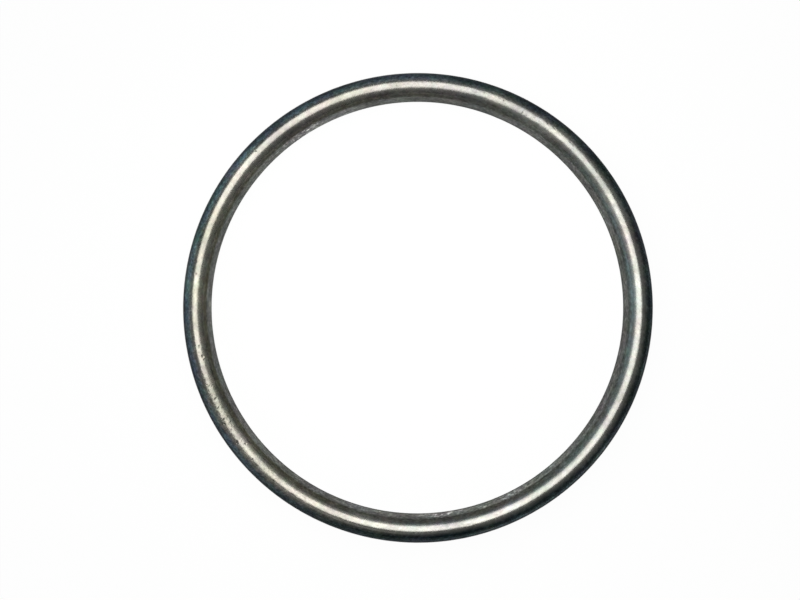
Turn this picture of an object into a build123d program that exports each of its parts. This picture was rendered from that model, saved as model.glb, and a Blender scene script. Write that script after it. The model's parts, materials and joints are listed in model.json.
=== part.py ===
"""Oval-section ring joint gasket for a round pipe flange, in millimetres.

One piece, turned from soft iron. The ring lies flat, its axis is +Z and its origin is
its centre, on the plane midway between the two flange faces that it seals.

The section is a flat-sided oval: a short straight wall inside and outside, joined above
and below by crests of full radius. Only the crests touch the flanges. Each one wedges
into a groove with sloping walls, so the crests carry the seal, the walls hold the two
crests apart and the ring's height follows from its width and its walls.
"""

from build123d import *
import os

# Driving dimensions
pitch_diameter = 211.14  # through the middle of the section, as the flange groove's
section_width = 11.11  # from the inner wall to the outer wall
wall_height = 6.35  # straight part of the walls, between the crests

# Values that follow from them
pitch_radius = pitch_diameter / 2
inner_radius = pitch_radius - section_width / 2
outer_radius = pitch_radius + section_width / 2
wall_top = wall_height / 2
crest_radius = section_width / 2
crest_top = wall_top + crest_radius

with BuildPart() as ring:
    with BuildSketch(Plane.XZ) as section:
        with BuildLine() as outline:
            Line((outer_radius, -wall_top), (outer_radius, wall_top))
            ThreePointArc(
                (outer_radius, wall_top), (pitch_radius, crest_top), (inner_radius, wall_top)
            )
            Line((inner_radius, wall_top), (inner_radius, -wall_top))
            ThreePointArc(
                (inner_radius, -wall_top), (pitch_radius, -crest_top), (outer_radius, -wall_top)
            )
        make_face()
    revolve(axis=Axis.Z)
ring.part.label = "ring"

os.makedirs("parts", exist_ok=True)
export_step(ring.part, "parts/ring.step")
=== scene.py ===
"""Looks of an oval-section ring joint gasket of bare turned iron, lying flat on a pale floor.

The ring's surface is worked out with numpy as its section carried round its axis. It is the
true section with the real one's shallow ripple, nicks and pits, and it stands for the CAD ring.
"""

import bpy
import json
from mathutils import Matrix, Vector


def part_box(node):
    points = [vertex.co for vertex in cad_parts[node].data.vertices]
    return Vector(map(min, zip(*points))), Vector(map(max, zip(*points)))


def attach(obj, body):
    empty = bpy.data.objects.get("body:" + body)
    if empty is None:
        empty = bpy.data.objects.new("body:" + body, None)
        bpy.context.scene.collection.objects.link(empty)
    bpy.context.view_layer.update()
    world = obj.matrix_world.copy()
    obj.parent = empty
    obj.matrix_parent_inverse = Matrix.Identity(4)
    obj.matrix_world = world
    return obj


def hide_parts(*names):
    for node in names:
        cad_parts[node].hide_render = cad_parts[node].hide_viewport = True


bl_info = {
    "name": "Ring Joint Gasket",
    "version": (1, 0, 0),
    "blender": (4, 5, 0),
    "location": "View3D > Sidebar > Gasket",
    "description": "Builds a worn ring joint gasket and the light and floor that it is shown in",
    "category": "Add Mesh",
}

import json
import math

import bpy
import numpy as np
from bpy.props import (
    FloatProperty,
    FloatVectorProperty,
    IntProperty,
    PointerProperty,
)
from mathutils import Vector

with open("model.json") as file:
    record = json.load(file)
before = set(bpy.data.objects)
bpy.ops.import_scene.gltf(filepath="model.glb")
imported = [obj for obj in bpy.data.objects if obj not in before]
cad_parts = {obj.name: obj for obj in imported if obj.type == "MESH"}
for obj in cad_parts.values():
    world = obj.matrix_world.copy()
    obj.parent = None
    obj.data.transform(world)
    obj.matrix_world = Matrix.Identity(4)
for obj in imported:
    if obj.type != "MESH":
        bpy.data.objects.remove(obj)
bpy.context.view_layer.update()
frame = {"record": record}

MM = 0.001
CAD_NODE = "ring"

mounts = {mount["name"]: mount for mount in frame["record"]["mounts"]}
BORE_RADIUS = mounts["bore"]["dims"]["r_mm"] * MM
RIM_RADIUS = mounts["rim"]["dims"]["r_mm"] * MM
WALL_HEIGHT = mounts["bore"]["dims"]["length_mm"] * MM
FLOOR_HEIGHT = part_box(CAD_NODE)[0].z

# Bearings are degrees counter-clockwise from +X as seen from above. Leans are degrees of the
# surface's outward normal from straight up, positive away from the axis.

# Each nick is its bearing, lean, length, width, depth in millimetres, and its slant in degrees
# from the line round the ring.
NICKS = (
    (61.8, -24, 1.7, 1.2, 0.08, 40),
    (67.5, -10, 1.4, 1.2, 0.08, 0),
    (95.5, -14, 1.6, 0.9, 0.07, 60),
    (136.0, -2, 2.2, 1.0, 0.12, 70),
    (168.3, 3, 2.6, 1.0, 0.09, 10),
    (171.3, -8, 1.6, 1.3, 0.10, 0),
    (187.6, 3, 2.4, 1.4, 0.10, 10),
    (190.0, -20, 2.4, 1.7, 0.10, 30),
    (192.7, -26, 2.6, 1.6, 0.10, 0),
    (200.5, -17, 2.4, 1.0, 0.09, 55),
    (204.2, -21, 2.6, 1.2, 0.12, 60),
    (206.6, -15, 2.6, 1.0, 0.11, 55),
    (209.9, -9, 3.0, 1.1, 0.13, 60),
    (210.9, -4, 1.7, 1.3, 0.15, 0),
    (213.3, -14, 2.4, 0.9, 0.09, 50),
    (216.6, -5, 2.6, 1.4, 0.16, 35),
    (218.2, -33, 1.6, 1.1, 0.08, 0),
    (222.5, -10, 2.0, 1.0, 0.09, 50),
    (230.2, -2, 2.4, 1.1, 0.11, 45),
)
LINES_PER_NICK = 16
DENTS = 200
DENT_SEED = 23
RIPPLE_WAVES = 24
RIPPLE_SEED = 11

# Stretches round the ring. Each is its middle bearing, its half width in degrees and its
# strength.
# On the crest:
PITTED = ((60, 20, 0.55), (92, 7, 0.35), (207, 14, 1.0), (228, 12, 0.6))
# Polished stretches are less rough, and their colour is lighter, which is a painted highlight.
POLISH_AND_HIGHLIGHT = ((268, 30, 1.0), (8, 22, 0.3), (239, 10, 0.9), (194, 8, 1.5))
# On darker stretches the crest's colour is darker, which is painted shade over its highlight.
CREST_SHADE = ((312, 24, 1.0), (15, 10, 0.6), (210, 5, 0.3))
SCORED = ((246, 22, 1.0),)
# On the inner wall: scuffs; paler stretches, which are painted reflection of lit floor; and low
# stretches, where its plain iron stops lower down under the flank's painted shade, and whose
# strength is in millimetres.
SCUFFED = (
    (124, 8, 1.0),
    (245, 22, 0.3),
    (277, 6, 1.1),
    (289, 3, 0.9),
    (298, 6, 0.8),
    (309, 6, 0.4),
)
PALE_WALL = ((285, 32, 0.8), (15, 25, 0.4), (112, 22, 0.5), (230, 30, 0.4))
LOW_WALL = ((68, 12, 0.3), (308, 26, 0.35), (350, 30, 0.3))
# On the inner shoulder, which has a painted highlight where it is brighter and warmer, and
# painted shade where it is darker:
WARM_SHOULDER_HIGHLIGHT = ((175, 36, 1.2), (196, 8, 1.7), (217, 16, 1.6), (242, 12, 0.8), (113, 14, 0.7))
SHOULDER_SHADE = ((45, 20, 1.0), (318, 30, 0.8))
# On the inner flank, whose painted shade is cooler here, as painted reflection of a cool light:
COOL = ((4, 30, 1.0), (317, 10, 0.5))
# On the outer flank. Its painted shade is paler, as painted reflection, or deeper on some broad
# stretches, reaches further up where it is raised, is darker at its top where the bright crest
# ends crisply, and is paler, as painted reflection, on the flank reflection stretches.
PALE = ((155, 45, 1.0), (92, 14, 0.8))
DARK = ((272, 34, 1.0), (322, 18, 0.7), (226, 8, 0.7))
RAISED_SHADE = ((284, 16, 1.1), (303, 16, 1.3), (58, 10, 0.6))
CRISP = ((155, 42, 1.0), (262, 11, 1.3), (92, 12, 0.5))
FLANK_REFLECTION = ((90, 22, 1.0), (193, 8, 0.8))
# On the outer shoulder, where the edge of the rim's painted shade lies further down, which
# leaves a lighter painted reflection there:
LIT_RIM = ((308, 28, 1.0), (212, 12, 0.6), (349, 12, 0.6), (180, 20, 0.9))

# Marks that fade out down the crest's flanks, and marks of painted light and shade that go all
# round the section.
CREST_MARKS = {"pitted": PITTED, "polish_and_highlight": POLISH_AND_HIGHLIGHT, "crest_shade": CREST_SHADE}
PAINTED_LIGHT_MARKS = {
    "pale_wall": PALE_WALL,
    "warm_shoulder_highlight": WARM_SHOULDER_HIGHLIGHT,
    "shoulder_shade": SHOULDER_SHADE,
    "cool": COOL,
    "pale": PALE,
    "dark": DARK,
    "raised_shade": RAISED_SHADE,
    "crisp": CRISP,
    "flank_reflection": FLANK_REFLECTION,
    "lit_rim": LIT_RIM,
}
OTHER_MARKS = ("lean", "nick", "dent", "scored", "scuffed", "wall", "beside")
ALL_MARKS = (*CREST_MARKS, *PAINTED_LIGHT_MARKS, *OTHER_MARKS)

# How far each painted shade of the flanks covers the bare crest: pairs of lean and share. The
# painted shade is dark colour that stands in for the dim surroundings that the flanks mirror.
INNER_PAINTED_SHADE = ((-64, 1.0), (-57, 0.90), (-51, 0.58), (-46, 0.22), (-40, 0.06), (-34, 0.0))
OUTER_PAINTED_SHADE = ((-2, 0.0), (8, 0.55), (14, 0.82), (21, 1.0))
RIM_PAINTED_SHADE = ((25, 0.0), (32, 0.50), (37, 0.92), (43, 1.0))
# How far the outer wall's plain iron comes up over the rim's painted shade.
OUTER_WALL = ((54, 0.0), (74, 1.0))
# Millimetres above and below the middle at which the inner wall's plain iron stops, how much
# higher it does at its highest bearing, and over how much height it fades out. This edge is
# painted: it parts the wall's lighter painted shade from the flank's darker one.
WALL_EDGE = 3.7
WALL_EDGE_SWING = 0.35
WALL_EDGE_HIGHEST = 130
WALL_EDGE_FADE = 1.6
# Brown dirt in nicks and dents.
DIRT = (0.085, 0.076, 0.060)

# The studio's walls are a dome of this radius, so that a place on it is also a direction.
DOME_RADIUS = 1.0
# What the walls give off, from the dull side at the lower right to the cool one at the upper
# left, and overhead.
WALL_GLOW = (
    (0.00, (0.105, 0.110, 0.105)),
    (0.25, (0.120, 0.126, 0.120)),
    (0.50, (0.180, 0.190, 0.180)),
    (0.75, (0.290, 0.330, 0.335)),
    (1.00, (0.400, 0.480, 0.510)),
)
OVERHEAD_GLOW = (0.120, 0.122, 0.115)
# Soft pale patches on the studio walls: bearing, climb and reach in degrees, and what they add.
WALL_PATCHES = (
    (52, 40, 42, (0.070, 0.070, 0.065)),
    (212, 30, 42, (0.170, 0.140, 0.130)),
)
# Seen directly, this share of the floor is white glow and the rest is matt.
FLOOR_GLOW_SHARE = 0.92
FLOOR_GLOW = 1.05
# How bright the surround is as a source of light.
SURROUND_LIGHT = 0.2


class GasketRing(bpy.types.PropertyGroup):
    """Sizes and colours of the ring, with the painted shade and reflections of its flanks and
    walls.
    """

    bore_radius: FloatProperty(
        name="Bore radius",
        description="Radius of the inner straight wall",
        default=BORE_RADIUS,
        unit="LENGTH",
    )
    rim_radius: FloatProperty(
        name="Rim radius",
        description="Radius of the outer straight wall",
        default=RIM_RADIUS,
        unit="LENGTH",
    )
    wall_height: FloatProperty(
        name="Wall height",
        description="Height of the straight walls between the round crests",
        default=WALL_HEIGHT,
        unit="LENGTH",
    )
    steps_round: IntProperty(
        name="Steps round",
        description="Steps of the surface round the ring, before those added at nicks",
        default=840,
        min=64,
    )
    ripple: FloatProperty(
        name="Ripple",
        description="Height of the shallow unevenness that turning and handling leave",
        default=0.0018 * MM,
        unit="LENGTH",
    )
    # The crest's bare iron. The darker colours below are painted shade and painted reflection
    # over the flanks and walls.
    crest_colour: FloatVectorProperty(
        name="Crest",
        description="Bright iron along the crests, where handling rubs it",
        default=(0.44, 0.437, 0.415),
        subtype="COLOR",
        min=0,
        max=1,
    )
    # Painted shade: the inner flank's dark olive stands in for the dim surroundings that it
    # mirrors.
    inner_colour: FloatVectorProperty(
        name="Inner flank",
        description="Dull olive film on the inner flanks",
        default=(0.058, 0.060, 0.052),
        subtype="COLOR",
        min=0,
        max=1,
    )
    # Painted reflection: the inner flank's grey-green on its cool side stands in for a cool light
    # that it mirrors.
    inner_cool_colour: FloatVectorProperty(
        name="Inner flank, cool side",
        description="Grey-green film on the inner flank's cool side",
        default=(0.140, 0.190, 0.195),
        subtype="COLOR",
        min=0,
        max=1,
    )
    # Painted shade: the inner wall's grey is darker than bare iron, so that its mirror image of
    # the white floor reads dim.
    wall_colour: FloatVectorProperty(
        name="Inner wall",
        description="Plain grey iron of the inner wall",
        default=(0.113, 0.117, 0.110),
        subtype="COLOR",
        min=0,
        max=1,
    )
    # Painted reflection: the inner wall's paler grey stands in for the lit floor that it mirrors
    # on those stretches.
    wall_pale_colour: FloatVectorProperty(
        name="Inner wall, worn",
        description="Paler iron where the inner wall is worn",
        default=(0.192, 0.199, 0.186),
        subtype="COLOR",
        min=0,
        max=1,
    )
    # Painted shade: the outer flank's blue-black stands in for the dim surroundings that it
    # mirrors.
    outer_colour: FloatVectorProperty(
        name="Outer flank",
        description="Blue-black film on the outer flanks",
        default=(0.098, 0.127, 0.137),
        subtype="COLOR",
        min=0,
        max=1,
    )
    # Painted reflection: the outer flank's slate on its pale side stands in for a cool light that
    # it mirrors.
    outer_pale_colour: FloatVectorProperty(
        name="Outer flank, pale side",
        description="Slate film on the outer flank's pale side",
        default=(0.143, 0.184, 0.203),
        subtype="COLOR",
        min=0,
        max=1,
    )
    # Painted shade: the outer flank's deep blue-green on its dark side stands in for darker
    # surroundings there.
    outer_dark_colour: FloatVectorProperty(
        name="Outer flank, dark side",
        description="Deep blue-green film on the outer flank's dark side",
        default=(0.032, 0.056, 0.068),
        subtype="COLOR",
        min=0,
        max=1,
    )
    outer_wall_colour: FloatVectorProperty(
        name="Outer wall",
        description="Plain grey iron of the outer wall",
        default=(0.158, 0.168, 0.169),
        subtype="COLOR",
        min=0,
        max=1,
    )
    # Painted shade: the rim's blue-black stands in for the dim surroundings and floor that it
    # mirrors.
    rim_colour: FloatVectorProperty(
        name="Rim",
        description="Blue-black film on the outer shoulders",
        default=(0.024, 0.031, 0.034),
        subtype="COLOR",
        min=0,
        max=1,
    )
    # Painted reflection: the rim's slate on its pale side stands in for a cool light that it
    # mirrors.
    rim_pale_colour: FloatVectorProperty(
        name="Rim, pale side",
        description="Slate film on the rim's pale side",
        default=(0.045, 0.060, 0.068),
        subtype="COLOR",
        min=0,
        max=1,
    )


class GasketStage(bpy.types.PropertyGroup):
    """Camera, lamps and floor."""

    camera_place: FloatVectorProperty(
        name="Camera place",
        description="Where the camera hangs, looking straight down",
        default=(-8.47 * MM, 3.72 * MM, 300 * MM),
        subtype="TRANSLATION",
        unit="LENGTH",
    )
    lens: FloatProperty(
        name="Lens",
        description="Focal length in millimetres on a sensor 36 millimetres wide",
        default=28.14,
    )
    key_place: FloatVectorProperty(
        name="Key lamp place",
        description="Middle of the round soft lamp overhead",
        default=(-22.1 * MM, 40.7 * MM, 197 * MM),
        subtype="TRANSLATION",
        unit="LENGTH",
    )
    key_facing: FloatVectorProperty(
        name="Key lamp facing",
        description="The way that the round soft lamp faces",
        default=(0.44, -0.41, -1.0),
        subtype="DIRECTION",
    )
    key_radius: FloatProperty(
        name="Key lamp radius",
        description="Radius of the round soft lamp overhead",
        default=120 * MM,
        unit="LENGTH",
    )
    key_radiance: FloatProperty(
        name="Key lamp brightness",
        description="How bright the lamp's face is, where a white card is 1",
        default=1.94,
    )
    key_colour: FloatVectorProperty(
        name="Key lamp colour",
        description="Colour of the round soft lamp overhead",
        default=(1.0, 0.99, 0.945),
        subtype="COLOR",
    )
    floor_reach: FloatProperty(
        name="Floor reach",
        description="How far the floor goes out from the ring's middle",
        default=8.0,
        unit="LENGTH",
    )
    floor_colour: FloatVectorProperty(
        name="Floor colour",
        description="Colour of the plain pale floor",
        default=(0.8, 0.8, 0.8),
        subtype="COLOR",
    )


def pitch_radius(sizes):
    """The radius of the circle through the middle of the section."""
    return (sizes.bore_radius + sizes.rim_radius) / 2


def crest_radius(sizes):
    """The radius of the round crests, which is half of the section's width."""
    return (sizes.rim_radius - sizes.bore_radius) / 2


def section_points(sizes):
    """The section's points in order round its outline, as a dict of arrays.

    The outline is four stretches: the upper crest from the inner to the outer wall, the outer
    wall downwards, the lower crest back and the inner wall upwards. A crest's point is its centre
    plus the crest radius times the normal, and the normal leans by equal steps. A wall's points
    are equal steps in height. Each stretch leaves out its last point, which starts the next. For
    patterns, the outline is also laid on a circle of its own length, from the upper crest's top:
    below and beside are the circle's radius times the cosine and the sine of the turn there.
    """
    crest = crest_radius(sizes)
    wall_top = sizes.wall_height / 2
    upper_steps, wall_steps, lower_steps = 60, 6, 20
    upper = np.linspace(-90, 90, upper_steps, endpoint=False)
    lower = np.linspace(90, 270, lower_steps, endpoint=False)
    climb = np.linspace(-wall_top, wall_top, wall_steps, endpoint=False)
    walls = np.full(wall_steps, 90)
    lean = np.concatenate([upper, walls, lower, 3 * walls])
    centre_height = np.concatenate(
        [np.full(upper_steps, wall_top), -climb, np.full(lower_steps, -wall_top), climb]
    )
    out, up = np.sin(np.radians(lean)), np.cos(np.radians(lean))
    radial = crest * out
    height = centre_height + crest * up
    steps = np.hypot(np.diff(radial, append=radial[0]), np.diff(height, append=height[0]))
    girth = steps.sum()
    run = np.concatenate([[0], np.cumsum(steps)[:-1]])
    girth_radius = girth / (2 * math.pi)
    turn = (run - run[upper_steps // 2]) / girth_radius
    return {
        "radial": radial,
        "height": height,
        "out": out,
        "up": up,
        "lean": lean,
        "turn_share": run / girth,
        "below": girth_radius * np.cos(turn),
        "beside": girth_radius * np.sin(turn),
    }


def stretch_share(bearing, stretches):
    """How strong a mark is at each bearing: the highest of its stretches' bell curves there."""
    degrees = np.degrees(bearing)
    share = np.zeros_like(degrees)
    for middle, half_width, strength in stretches:
        away = (degrees - middle + 180) % 360 - 180
        share = np.maximum(share, strength * np.exp(-((away / half_width) ** 2)))
    return share


def bearings_round(sizes):
    """Bearings of the surface's lines round the ring, in radians.

    They are closer where the crest is pitted: each stands where the running total of one plus
    the pitted share times an extra reaches an equal step. A set of close lines is added over
    each nick and a little past it. A line too near to the next one is left out.
    """
    pitted_extra, nick_reach, smallest_gap = 1.2, 0.55, 0.06 * MM
    pitch = pitch_radius(sizes)
    fine = np.linspace(0, 2 * math.pi, 7200, endpoint=False)
    total = np.cumsum(1 + pitted_extra * stretch_share(fine, PITTED))
    total = (total - total[0]) / (total[-1] - total[0])
    spread = np.interp(np.linspace(0, 1, sizes.steps_round, endpoint=False), total, fine)
    sets = [spread]
    for bearing, _, length, width, _, _ in NICKS:
        half = nick_reach * max(length, width) * MM / pitch
        sets.append(math.radians(bearing) + np.linspace(-half, half, LINES_PER_NICK))
    lines = np.sort(np.concatenate(sets))
    far_enough = np.diff(lines, append=lines[0] + 2 * math.pi) > smallest_gap / pitch
    return lines[far_enough]


def ripple_height(bearing, turn_share, height):
    """Shallow unevenness: a sum of sine waves whose phase is a whole number of turns round the
    ring plus a whole number of turns round the section, so that it closes on itself both ways."""
    rng = np.random.default_rng(RIPPLE_SEED)
    total = 0
    for _ in range(RIPPLE_WAVES):
        waves_round = rng.integers(12, 150)
        waves_across = rng.integers(-6, 7)
        phase = rng.uniform(0, 2 * math.pi)
        turn = waves_round * bearing + 2 * math.pi * waves_across * turn_share + phase
        total = total + np.sin(turn)
    return height * total


def scattered_dents(count):
    """Rows like those of NICKS for small dents, drawn at random, most of them along the pitted
    stretches and a few all round."""
    rng = np.random.default_rng(DENT_SEED)
    fine = np.linspace(0, 360, 3600, endpoint=False)
    chance_all_round = 0.015
    chance = stretch_share(np.radians(fine), PITTED) + chance_all_round
    bearing = rng.choice(fine, count, p=chance / chance.sum()) + rng.uniform(0, 0.1, count)
    lean = rng.normal(-15, 14, count)
    length = rng.uniform(1.0, 2.6, count)
    width = rng.uniform(0.6, 1.2, count)
    depth = rng.uniform(0.02, 0.08, count) * width
    slant = rng.normal(40, 35, count)
    return np.stack([bearing, lean, length, width, depth, slant], axis=-1)


def bowls(rows, bearings, lean, sizes):
    """Depth in metres of the bowls that the rows give, on the whole grid.

    A bowl is its depth times the square of one less the squared distance from its middle. The
    distance is counted in half lengths along its slanted line and in half widths across it.
    Lines round the ring that are further off than half the bowl's length are left alone.
    """
    pitch, crest = pitch_radius(sizes), crest_radius(sizes)
    depth = np.zeros((len(bearings), len(lean)))
    for middle, tilt, length, width, deep, slant in rows:
        reach = max(length, width) * MM / 2
        along = ((bearings - math.radians(middle) + math.pi) % (2 * math.pi) - math.pi) * pitch
        near = np.abs(along) < reach
        across = np.radians(lean - tilt) * crest
        along, across = np.meshgrid(along[near], across, indexing="ij")
        turn = math.radians(slant)
        long_way = (along * math.cos(turn) + across * math.sin(turn)) / (length * MM / 2)
        short_way = (across * math.cos(turn) - along * math.sin(turn)) / (width * MM / 2)
        bowl = np.clip(1 - long_way**2 - short_way**2, 0, 1) ** 2
        depth[near] = np.maximum(depth[near], deep * MM * bowl)
    return depth


def inner_wall_share(bearing, section):
    """How far each point is plain iron of the inner wall: 1 below the wall's edge and 0 above
    it, with a straight fade. The edge's height is its mean plus a swing times the cosine of the
    bearing from its highest place, less what the low stretches take off. The swing and the low
    stretches so move the painted edge between the wall's lighter painted shade and the flank's
    darker one."""
    turn = bearing - math.radians(WALL_EDGE_HIGHEST)
    edge = WALL_EDGE + WALL_EDGE_SWING * np.cos(turn) - stretch_share(bearing, LOW_WALL)
    below_edge = (edge * MM - np.abs(section["height"])) / (WALL_EDGE_FADE * MM)
    nearly_upright = section["out"] < -0.9
    return np.clip(below_edge + 0.5, 0, 1) * nearly_upright


def marks_of_wear_and_painted_light(bearing, section, nicks, dents):
    """What the material reads at each point, real wear and stretches of painted light and shade,
    as a dict of arrays that stretch to the grid.

    The lean is folded, so that the lower crest has the upper one's. Depths of nicks and dents
    are the square roots of their shares of the deepest one. Marks on the crest fade out where
    the surface is nearly upright, and scoring fades out a few degrees from the crest's top.
    """
    lean = section["lean"]
    folded = np.where(lean > 90, 180 - lean, lean)
    crest_share = np.clip(1.1 - np.abs(section["out"]), 0, 1)
    score_middle, score_reach = -2, 4
    score = np.exp(-(((folded - score_middle) / score_reach) ** 2)) * (lean < 90)
    wall = inner_wall_share(bearing, section)
    marks = {
        "lean": share_of_lean(folded),
        "nick": np.sqrt(nicks / nicks.max()),
        "dent": np.sqrt(dents / dents.max()),
        "scored": stretch_share(bearing, SCORED) * score,
        "scuffed": stretch_share(bearing, SCUFFED) * wall,
        "wall": wall,
        "beside": section["beside"],
    }
    for name, stretches in CREST_MARKS.items():
        marks[name] = stretch_share(bearing, stretches) * crest_share
    for name, stretches in PAINTED_LIGHT_MARKS.items():
        marks[name] = stretch_share(bearing, stretches)
    return marks


def ring_surface(sizes):
    """The ring's mesh data: the section carried round the axis.

    A point is the pitch radius plus the section's radial place, turned to the bearing, at the
    section's height, moved along its normal by the ripple less the depth of nicks and dents.
    """
    section = section_points(sizes)
    bearings = bearings_round(sizes)
    nicks = bowls(NICKS, bearings, section["lean"], sizes)
    dents = bowls(scattered_dents(DENTS), bearings, section["lean"], sizes)
    pitch = pitch_radius(sizes)

    bearing = bearings[:, None]
    raised = ripple_height(bearing, section["turn_share"], sizes.ripple)
    raised = raised - nicks - dents
    reach = pitch + section["radial"] + raised * section["out"]
    height = section["height"] + raised * section["up"]
    points = np.stack([reach * np.cos(bearing), reach * np.sin(bearing), height], axis=-1)
    vectors = {
        "lay": pattern_place(bearing, section, 0, pitch),
        "slanted_lay": pattern_place(bearing, section, 1, pitch),
    }
    marks = marks_of_wear_and_painted_light(bearing, section, nicks, dents)
    return {
        "points": points.reshape(-1, 3),
        "faces": grid_faces(*reach.shape, closed=True),
        "vectors": {name: values.reshape(-1, 3) for name, values in vectors.items()},
        "floats": {
            name: np.broadcast_to(values, reach.shape).reshape(-1)
            for name, values in marks.items()
        },
    }


def pattern_place(bearing, section, slant, pitch):
    """Where each point lies for patterns, in three of the four dimensions that they have.

    The first two are the place on the pitch circle. The third is below, on the circle that the
    section is laid on, and beside is the fourth, so that a pattern closes both ways and is
    mirrored nowhere. A slant turns the place on the pitch circle by beside times the slant, and
    then a pattern drawn out over the section runs aslant over the crests.
    """
    turned = bearing + slant * section["beside"] / pitch
    below = np.broadcast_to(section["below"], turned.shape)
    return np.stack([pitch * np.cos(turned), pitch * np.sin(turned), below], axis=-1)


def grid_faces(rows, columns, closed):
    """Four-sided faces between each row of points and the next. A row goes round and meets
    itself, and the last row joins the first one only if the grid is closed."""
    here = np.arange(rows * columns).reshape(rows, columns)
    onward = np.roll(here, -1, axis=0)
    if not closed:
        here, onward = here[:-1], onward[:-1]
    corners = [here, onward, np.roll(onward, -1, axis=1), np.roll(here, -1, axis=1)]
    return np.stack(corners, axis=-1).reshape(-1, 4)


def mesh_from_arrays(name, points, faces):
    """A new object at the origin whose mesh has these points and four-sided faces."""
    mesh = bpy.data.meshes.new(name)
    mesh.vertices.add(len(points))
    mesh.vertices.foreach_set("co", points.astype(np.float32).ravel())
    mesh.loops.add(faces.size)
    mesh.loops.foreach_set("vertex_index", faces.astype(np.int32).ravel())
    mesh.polygons.add(len(faces))
    mesh.polygons.foreach_set("loop_start", np.arange(0, faces.size, 4, dtype=np.int32))
    mesh.update(calc_edges=True)
    mesh.validate()
    mesh.shade_smooth()
    made = bpy.data.objects.new(name, mesh)
    bpy.context.collection.objects.link(made)
    return made


def store_floats(mesh, name, values):
    """One number for each vertex, kept on the mesh under a name that materials read."""
    mesh.attributes.new(name, "FLOAT", "POINT").data.foreach_set(
        "value", values.astype(np.float32)
    )


def store_vectors(mesh, name, values):
    """One vector for each vertex, kept on the mesh under a name that materials read."""
    mesh.attributes.new(name, "FLOAT_VECTOR", "POINT").data.foreach_set(
        "vector", values.astype(np.float32).ravel()
    )


class NodeTree:
    """A short way to write a node tree: add a node, set its values and link its inputs."""

    def __init__(self, owner):
        owner.use_nodes = True
        self.tree = owner.node_tree
        self.tree.nodes.clear()

    def add(self, kind, links=None, values=None, **settings):
        """Adds a node. links and values are dicts of input name or number to socket or value."""
        node = self.tree.nodes.new(kind)
        for name, value in settings.items():
            setattr(node, name, value)
        for key, value in (values or {}).items():
            node.inputs[key].default_value = value
        for key, socket in (links or {}).items():
            self.tree.links.new(socket, node.inputs[key])
        return node

    def math(self, operation, first, second=None, clamp=False):
        """A Math node on sockets or plain numbers, and its output."""
        node = self.tree.nodes.new("ShaderNodeMath")
        node.operation = operation
        node.use_clamp = clamp
        for number, value in enumerate((first, second)):
            if isinstance(value, bpy.types.NodeSocket):
                self.tree.links.new(value, node.inputs[number])
            elif value is not None:
                node.inputs[number].default_value = value
        return node.outputs[0]

    def attribute(self, name, output):
        """What the mesh keeps under a name."""
        node = self.add("ShaderNodeAttribute", attribute_name=name)
        return node.outputs[output]

    def noise(self, vector, scale, detail, roughness, output="Fac"):
        """Soft noise on a vector."""
        node = self.add(
            "ShaderNodeTexNoise",
            {"Vector": vector},
            {"Scale": scale, "Detail": detail, "Roughness": roughness},
        )
        return node.outputs[output]

    def lay_noise(self, lay, scale, detail, roughness, round_by=1, over_by=1):
        """Soft noise in the four dimensions of the lay, drawn out round the ring and over the
        section. lay is a pair: the vector and the fourth dimension."""
        shrink = (1 / round_by, 1 / round_by, 1 / over_by)
        mapping = self.add("ShaderNodeMapping", {"Vector": lay[0]}, {"Scale": shrink})
        fourth = self.math("MULTIPLY", lay[1], 1 / over_by)
        node = self.add(
            "ShaderNodeTexNoise",
            {"Vector": mapping.outputs[0], "W": fourth},
            {"Scale": scale, "Detail": detail, "Roughness": roughness},
            noise_dimensions="4D",
        )
        return node.outputs["Fac"]

    def ramp(self, value, stops):
        """A colour for each value: stops are pairs of place and colour or grey level."""
        node = self.add("ShaderNodeValToRGB", {"Fac": value})
        ramp = node.color_ramp
        while len(ramp.elements) < len(stops):
            ramp.elements.new(0.5)
        for element, (place, colour) in zip(ramp.elements, stops):
            element.position = place
            grey = isinstance(colour, (int, float))
            element.color = (colour,) * 3 + (1,) if grey else (*colour, 1)
        return node.outputs["Color"]

    def scaled(self, noise, height):
        """Noise turned into a swing about 0, as high as given at its usual extremes."""
        return self.math("MULTIPLY", self.math("SUBTRACT", noise, 0.5), 2 * height)

    def spread(self, value, low, high):
        """0 below low, 1 above high and a straight climb between."""
        node = self.add(
            "ShaderNodeMapRange", {"Value": value}, {"From Min": low, "From Max": high}
        )
        return node.outputs[0]

    def grey(self, value):
        """A grey colour as bright as the value, which may be over 1."""
        return self.add(
            "ShaderNodeCombineColor", {"Red": value, "Green": value, "Blue": value}
        ).outputs[0]

    def total(self, *parts):
        """The sum of sockets and plain numbers."""
        first, *rest = parts
        for part in rest:
            first = self.math("ADD", first, part)
        return first

    def product(self, *parts):
        """The product of sockets and plain numbers."""
        first, *rest = parts
        for part in rest:
            first = self.math("MULTIPLY", first, part)
        return first

    def tinted(self, colour, tint):
        """A colour times a tint."""
        return self.mix(1.0, colour, tint, "MULTIPLY")

    def mix(self, share, first, second, blend="MIX"):
        """A Mix Color node on sockets or plain colours, and its output."""
        node = self.tree.nodes.new("ShaderNodeMix")
        node.data_type = "RGBA"
        node.blend_type = blend
        for name, value in (("Factor", share), ("A", first), ("B", second)):
            socket = next(
                s
                for s in node.inputs
                if s.name == name and s.type == ("VALUE" if name == "Factor" else "RGBA")
            )
            if isinstance(value, bpy.types.NodeSocket):
                self.tree.links.new(value, socket)
            else:
                socket.default_value = value if name == "Factor" else (*value, 1)
        return next(s for s in node.outputs if s.type == "RGBA")


def share_of_lean(degrees):
    """The place from 0 to 1 that the mesh keeps for a surface that leans by so many degrees."""
    return 0.5 + degrees / 180


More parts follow.
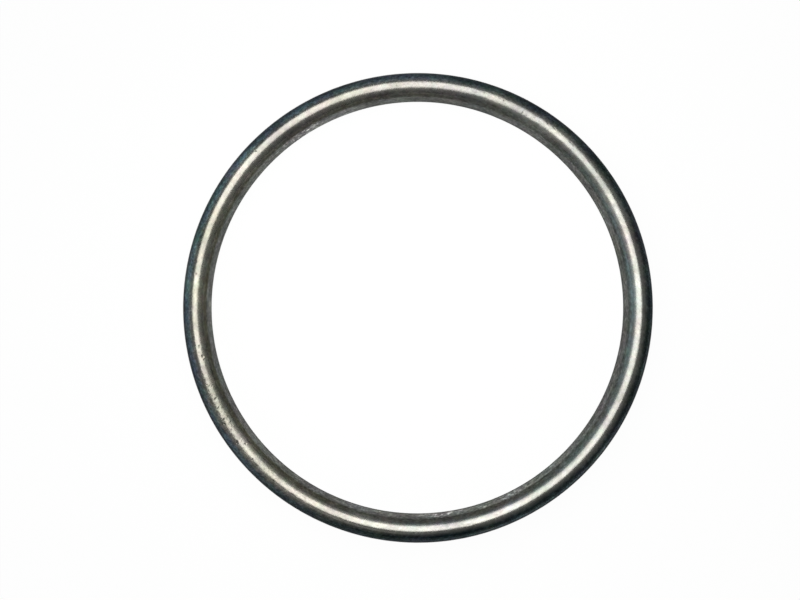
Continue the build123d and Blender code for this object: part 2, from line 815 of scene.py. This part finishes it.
class IronTree(NodeTree):
    """The nodes of the ring's iron: what the mesh keeps, the noises that several finishes share
    and one function for each part of the look."""

    def __init__(self, owner):
        super().__init__(owner)
        self.place = self.add("ShaderNodeTexCoord").outputs["Object"]
        self.marks = {name: self.attribute(name, "Fac") for name in ALL_MARKS}
        self.lay = (self.attribute("lay", "Vector"), self.marks["beside"])
        self.slanted_lay = (self.attribute("slanted_lay", "Vector"), self.marks["beside"])
        self.mottle = self.noise(self.place, scale=420, detail=3, roughness=0.7)
        self.patches = self.lay_noise(
            self.lay, scale=60, detail=5, roughness=0.95, round_by=2.2
        )

    def marked(self, name, *factors):
        """A mark times sockets and plain numbers."""
        return self.product(self.marks[name], *factors)

    def by_lean(self, *pairs, at=None):
        """A share that follows the lean: pairs of degrees and share from 0 to 1."""
        at = self.marks["lean"] if at is None else at
        return self.ramp(at, [(share_of_lean(degrees), share) for degrees, share in pairs])

    def covered(self, under, film, pairs, at):
        """A painted shade over a colour, as far as its pairs of lean and share say."""
        return self.mix(self.by_lean(*pairs, at=at), under, film)

    def colour_with_painted_shade(self, finish):
        """The colour of the bare crest, and of the painted shade and painted reflections beside
        it.
        """
        # The edges of the painted shade wander, so that a paler patch also has less of it, and
        # they are ragged where the crest is pitted.
        pitted_edge = self.marked("pitted", self.scaled(self.mottle, 0.12))
        ragged = self.total(self.marks["lean"], pitted_edge)
        inner_lean = self.total(ragged, self.scaled(self.patches, 0.04))
        outer_lean = self.total(ragged, self.scaled(self.patches, -0.03))
        # Painted shade reaches further up on the dark and raised stretches, and the rim's starts
        # lower where the rim is lit.
        creep = self.total(self.marked("dark", 0.014), self.marked("raised_shade", 0.028))
        rim_shift = self.marked("lit_rim", -0.034)

        # The inner flank's painted shade turns to its cool painted reflection on the cool
        # stretches, less so near its foot.
        above_foot = self.by_lean((-73, 0.3), (-58, 1.0))
        inner = self.mix(
            self.marked("cool", above_foot), finish.inner_colour, finish.inner_cool_colour
        )
        # Where the shoulder has its painted highlight, the inner flank's shade and the crest are
        # warmer too.
        warm_shoulder_highlight = self.marks["warm_shoulder_highlight"]
        inner = self.mix(warm_shoulder_highlight, inner, self.tinted(inner, (1.06, 1.0, 0.86)))
        crest = self.mix(
            warm_shoulder_highlight, finish.crest_colour, self.tinted(finish.crest_colour, (1.02, 0.99, 0.93))
        )
        # The inner wall's painted shade is lighter, as painted reflection of lit floor, on its
        # pale stretches.
        wall = self.mix(
            self.marks["pale_wall"], finish.wall_colour, finish.wall_pale_colour
        )
        # The outer flank's and the rim's painted shade is paler, as painted reflection, on the
        # pale stretches, and deeper on the dark ones.
        pale = self.marks["pale"]
        outer = self.mix(pale, finish.outer_colour, finish.outer_pale_colour)
        above_rim = self.by_lean((17, 1.0), (25, 0.0))
        outer = self.mix(self.marked("dark", above_rim), outer, finish.outer_dark_colour)
        rim = self.mix(pale, finish.rim_colour, finish.rim_pale_colour)

        colour = self.covered(crest, inner, INNER_PAINTED_SHADE, inner_lean)
        colour = self.mix(self.marks["wall"], colour, wall)
        colour = self.covered(colour, outer, OUTER_PAINTED_SHADE, self.total(outer_lean, creep))
        colour = self.covered(colour, rim, RIM_PAINTED_SHADE, self.total(outer_lean, rim_shift))
        return self.covered(colour, finish.outer_wall_colour, OUTER_WALL, outer_lean)

    def texture_swing(self):
        """What cloudy patches, turning streaks, flecks and slanting scratches add to or take
        off a place's brightness, each by its share at that lean."""
        flecks = self.lay_noise(self.lay, scale=1000, detail=2, roughness=0.8, round_by=1.4)
        streaks = self.lay_noise(self.lay, scale=430, detail=5, roughness=0.7, round_by=30)
        scratches = self.lay_noise(
            self.slanted_lay, scale=900, detail=3, roughness=0.7, over_by=14
        )
        patch_share = self.by_lean(
            (-88, 0.91), (-70, 0.41), (-2, 0.41), (12, 0.68), (50, 0.7), (70, 0.5)
        )
        fleck_share = self.by_lean(
            (-88, 1.0), (-65, 0.60), (-52, 0.22), (-45, 0.12), (-2, 0.12), (12, 0.85), (70, 0.5)
        )
        scratch_share = self.by_lean(
            (-80, 0.2), (-60, 0.45), (-2, 0.45), (12, 0.9), (50, 0.9), (65, 0.3)
        )
        outer_wall = self.by_lean((60, 0.0), (80, 1.0))
        streak_share = self.total(
            self.marked("wall", 0.7), self.product(outer_wall, 0.6), 0.25
        )
        return self.total(
            self.product(self.scaled(self.patches, 2.2), patch_share),
            self.product(self.scaled(streaks, 1.0), streak_share),
            self.product(self.scaled(flecks, 1.9), fleck_share),
            self.product(self.scaled(scratches, 0.60), scratch_share),
        )

    def wear_and_painted_light_swing(self):
        """What pits and scuffs, and the painted highlights and shade of some stretches, add to or
        take off a place's brightness.
        """
        shoulder = self.by_lean((-53, 0.0), (-46, 1.0), (-36, 1.0), (-28, 0.0))
        film_top = self.by_lean((-1, 0.0), (4, 1.0), (9, 1.0), (14, 0.0))
        flank = self.by_lean((5, 0.0), (10, 1.0), (17, 1.0), (23, 0.0))
        pits = self.math("SUBTRACT", self.scaled(self.mottle, 0.8), 0.12)
        # Scuffed stretches are also a little lighter all over, which is painted reflection of the
        # lit floor.
        scuffs = self.total(self.product(self.spread(self.mottle, 0.48, 0.62), 1.35), 0.08)
        return self.total(
            self.marked("pitted", pits),
            self.marked("scuffed", scuffs),
            self.marked("polish_and_highlight", 0.10),
            self.marked("crest_shade", -0.13),
            self.marked("warm_shoulder_highlight", shoulder, 0.36),
            self.marked("shoulder_shade", shoulder, -0.30),
            self.marked("flank_reflection", flank, 0.26),
            self.marked("crisp", film_top, -0.26),
        )

    def tinges(self):
        """Faint tinges of all colours: the noise's colour less its middle, times the share at
        that lean, plus white."""
        noise = self.noise(self.place, scale=60, detail=4, roughness=0.95, output="Color")
        share = self.by_lean(
            (-88, 0.50), (-50, 0.65), (-25, 0.30), (-2, 0.35), (16, 1.0), (45, 1.0), (60, 0.35)
        )
        swing = self.add(
            "ShaderNodeVectorMath", {0: noise}, {1: (0.5, 0.5, 0.5)}, operation="SUBTRACT"
        ).outputs[0]
        return self.add(
            "ShaderNodeVectorMath",
            {0: swing, 1: share},
            {2: (1, 1, 1)},
            operation="MULTIPLY_ADD",
        ).outputs[0]

    def dirt_share(self):
        """How far dirt fills each nick and dent."""
        return self.math("MAXIMUM", self.marked("dent", 0.35), self.marked("nick", 0.62))

    def roughness(self):
        """How dull the sheen is: by lean, with a mottle and what wear does to it."""
        return self.total(
            self.by_lean((-85, 0.38), (-45, 0.28), (-10, 0.24), (40, 0.30), (70, 0.36)),
            self.scaled(self.mottle, 0.06),
            self.marked("pitted", 0.07),
            self.marked("scored", 0.22),
            self.marked("polish_and_highlight", -0.04),
        )

    def relief(self):
        """The normal over fine turning lines round the ring and the lumps of pitted places."""
        lines = self.lay_noise(
            self.lay, scale=3600, detail=2, roughness=0.55, round_by=160
        )
        turned = self.add(
            "ShaderNodeBump", {"Height": lines}, {"Strength": 0.25, "Distance": 0.012 * MM}
        ).outputs[0]
        grain = self.noise(self.place, scale=1100, detail=2, roughness=0.5)
        lumps = self.product(grain, self.total(self.marks["pitted"], 0.03))
        return self.add(
            "ShaderNodeBump",
            {"Height": lumps, "Normal": turned},
            {"Strength": 0.6, "Distance": 0.05 * MM},
        ).outputs[0]


def bare_iron(finish):
    """Turned iron: bare on the crest, with painted shade and painted reflections on the flanks
    and walls, painted highlight and shade on some stretches, and turning lines, cloudy patches,
    faint tinges, scuffs and pitted stretches."""
    material = bpy.data.materials.new("bare_iron")
    nodes = IronTree(material)
    # Brightness is e to the power of a sum, so that it never falls below nothing.
    swing = nodes.total(nodes.texture_swing(), nodes.wear_and_painted_light_swing())
    brightness = nodes.grey(nodes.math("EXPONENT", swing))
    colour = nodes.tinted(nodes.colour_with_painted_shade(finish), brightness)
    colour = nodes.tinted(colour, nodes.tinges())
    colour = nodes.mix(nodes.dirt_share(), colour, DIRT)
    shader = nodes.add(
        "ShaderNodeBsdfPrincipled",
        {"Base Color": colour, "Roughness": nodes.roughness(), "Normal": nodes.relief()},
        {"Metallic": 1.0, "Specular Tint": (0.5, 0.5, 0.5, 1)},
    )
    nodes.add("ShaderNodeOutputMaterial", {"Surface": shader.outputs[0]})
    return material


def seen_directly(nodes):
    """1 on a ray from the camera, a mirror-like surface or glass, and 0 on all others."""
    path = nodes.add("ShaderNodeLightPath")
    seen = nodes.math("ADD", path.outputs["Is Camera Ray"], path.outputs["Is Glossy Ray"])
    return nodes.math("ADD", seen, path.outputs["Is Transmission Ray"], clamp=True)


def pale_floor_material(colour):
    """A plain matt floor that looks white and keeps the ring's shadow."""
    material = bpy.data.materials.new("pale_floor")
    nodes = NodeTree(material)
    matt = nodes.add("ShaderNodeBsdfDiffuse", values={"Color": (*colour, 1)})
    white = nodes.add(
        "ShaderNodeEmission", values={"Color": (1, 1, 1, 1), "Strength": FLOOR_GLOW}
    )
    share = nodes.product(seen_directly(nodes), FLOOR_GLOW_SHARE)
    both = nodes.add(
        "ShaderNodeMixShader", {0: share, 1: matt.outputs[0], 2: white.outputs[0]}
    )
    nodes.add("ShaderNodeOutputMaterial", {"Surface": both.outputs[0]})
    return material


def studio_wall_material():
    """Dim studio walls that the metal mirrors: cool and lighter at the upper left, and dull and
    darker at the lower right, with two soft pale patches to the upper right and the lower left.

    The side is a sum of shares of X and Y, which is 0 at the lower right and 1 at the upper
    left. A patch is brightest in its own direction and fades out to nothing at its reach.
    """
    material = bpy.data.materials.new("studio_walls")
    nodes = NodeTree(material)
    place = nodes.add("ShaderNodeTexCoord").outputs["Object"]
    split = nodes.add("ShaderNodeSeparateXYZ", {0: place})
    side = nodes.total(
        nodes.product(split.outputs["X"], -0.453), nodes.product(split.outputs["Y"], 0.211), 0.5
    )
    glow = nodes.ramp(side, WALL_GLOW)
    overhead = nodes.product(nodes.spread(split.outputs["Z"], 0.60, 0.96), 0.7)
    glow = nodes.mix(overhead, glow, OVERHEAD_GLOW)
    for bearing, climb, reach, colour in WALL_PATCHES:
        bearing, climb = math.radians(bearing), math.radians(climb)
        towards = (
            math.cos(climb) * math.cos(bearing),
            math.cos(climb) * math.sin(bearing),
            math.sin(climb),
        )
        facing = nodes.add(
            "ShaderNodeVectorMath", {0: place}, {1: towards}, operation="DOT_PRODUCT"
        ).outputs["Value"]
        near = nodes.spread(facing, math.cos(math.radians(reach)), 1.0)
        glow = nodes.mix(near, glow, colour, "ADD")
    light = nodes.add("ShaderNodeEmission", {"Color": glow}, {"Strength": 1.0})
    nodes.add("ShaderNodeOutputMaterial", {"Surface": light.outputs[0]})
    return material


def dome_surface(radius, base_height):
    """A half sphere: the point at a bearing and a climb from 0 to 90 degrees is the radius
    turned up by the climb and round by the bearing, and the top row is one small ring."""
    bearing = np.linspace(0, 2 * math.pi, 64, endpoint=False)
    climb = np.radians(np.linspace(0, 89.5, 24))
    climb, bearing = np.meshgrid(climb, bearing, indexing="ij")
    points = np.stack(
        [
            radius * np.cos(climb) * np.cos(bearing),
            radius * np.cos(climb) * np.sin(bearing),
            base_height + radius * np.sin(climb),
        ],
        axis=-1,
    )
    return points.reshape(-1, 3), grid_faces(*climb.shape, closed=False)


def round_lamp(name, place, facing, radius, radiance, colour):
    """A round soft lamp whose face has a given brightness. Its power is that brightness times
    its face's area times pi."""
    data = bpy.data.lights.new(name, "AREA")
    data.shape = "DISK"
    data.size = 2 * radius
    data.energy = radiance * math.pi * radius**2 * math.pi
    data.color = colour
    lamp = bpy.data.objects.new(name, data)
    lamp.location = place
    lamp.rotation_euler = Vector(facing).to_track_quat("-Z", "Y").to_euler()
    lamp.visible_camera = False
    bpy.context.collection.objects.link(lamp)
    return lamp


class GASKET_OT_ring(bpy.types.Operator):
    """Build the ring's worn surface in place of the CAD ring"""

    bl_idname = "gasket.ring"
    bl_label = "Build Ring"

    def execute(self, context):
        sizes = context.scene.gasket_ring
        surface = ring_surface(sizes)
        ring = mesh_from_arrays("gasket_ring", surface["points"], surface["faces"])
        for name, values in surface["vectors"].items():
            store_vectors(ring.data, name, values)
        for name, values in surface["floats"].items():
            store_floats(ring.data, name, values)
        ring.data.materials.append(bare_iron(sizes))
        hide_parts(CAD_NODE)
        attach(ring, "root")
        return {"FINISHED"}


class GASKET_OT_stage(bpy.types.Operator):
    """Build the floor, the dim walls, the lamps and the camera"""

    bl_idname = "gasket.stage"
    bl_label = "Build Stage"

    def execute(self, context):
        stage = context.scene.gasket_stage
        corners = stage.floor_reach * np.array([(-1, -1), (1, -1), (1, 1), (-1, 1)])
        floor_points = np.column_stack([corners, np.full(4, FLOOR_HEIGHT)])
        floor = mesh_from_arrays("floor", floor_points, np.array([[0, 1, 2, 3]]))
        floor.data.materials.append(pale_floor_material(stage.floor_colour))
        walls = mesh_from_arrays("studio_walls", *dome_surface(DOME_RADIUS, FLOOR_HEIGHT))
        walls.data.materials.append(studio_wall_material())
        walls.visible_camera = False

        round_lamp(
            "key_lamp",
            stage.key_place,
            stage.key_facing,
            stage.key_radius,
            stage.key_radiance,
            stage.key_colour,
        )

        world = bpy.data.worlds.new("white_surround")
        nodes = NodeTree(world)
        seen = nodes.product(seen_directly(nodes), 1 - SURROUND_LIGHT)
        strength = nodes.total(seen, SURROUND_LIGHT)
        background = nodes.add(
            "ShaderNodeBackground", {"Strength": strength}, {"Color": (1, 1, 1, 1)}
        )
        nodes.add("ShaderNodeOutputWorld", {"Surface": background.outputs[0]})
        context.scene.world = world

        camera_data = bpy.data.cameras.new("camera")
        camera_data.lens = stage.lens
        camera_data.sensor_width = 36
        camera = bpy.data.objects.new("camera", camera_data)
        camera.location = stage.camera_place
        context.collection.objects.link(camera)
        context.scene.camera = camera
        context.scene.view_settings.view_transform = "Standard"
        return {"FINISHED"}


class GASKET_PT_panel(bpy.types.Panel):
    """Lists the ring's and the stage's values with a button for each."""

    bl_idname = "GASKET_PT_panel"
    bl_label = "Ring Joint Gasket"
    bl_space_type = "VIEW_3D"
    bl_region_type = "UI"
    bl_category = "Gasket"

    def draw(self, context):
        for group, operator in (
            (context.scene.gasket_ring, GASKET_OT_ring.bl_idname),
            (context.scene.gasket_stage, GASKET_OT_stage.bl_idname),
        ):
            column = self.layout.column()
            for name in group.bl_rna.properties.keys():
                if name not in ("rna_type", "name"):
                    column.prop(group, name)
            column.operator(operator)


CLASSES = (GasketRing, GasketStage, GASKET_OT_ring, GASKET_OT_stage, GASKET_PT_panel)


def register():
    for cls in CLASSES:
        bpy.utils.register_class(cls)
    bpy.types.Scene.gasket_ring = PointerProperty(type=GasketRing)
    bpy.types.Scene.gasket_stage = PointerProperty(type=GasketStage)


def unregister():
    del bpy.types.Scene.gasket_stage
    del bpy.types.Scene.gasket_ring
    for cls in reversed(CLASSES):
        bpy.utils.unregister_class(cls)


def main():
    """Builds everything in order."""
    register()
    bpy.ops.gasket.ring()
    bpy.ops.gasket.stage()


if __name__ == "__main__":
    main()
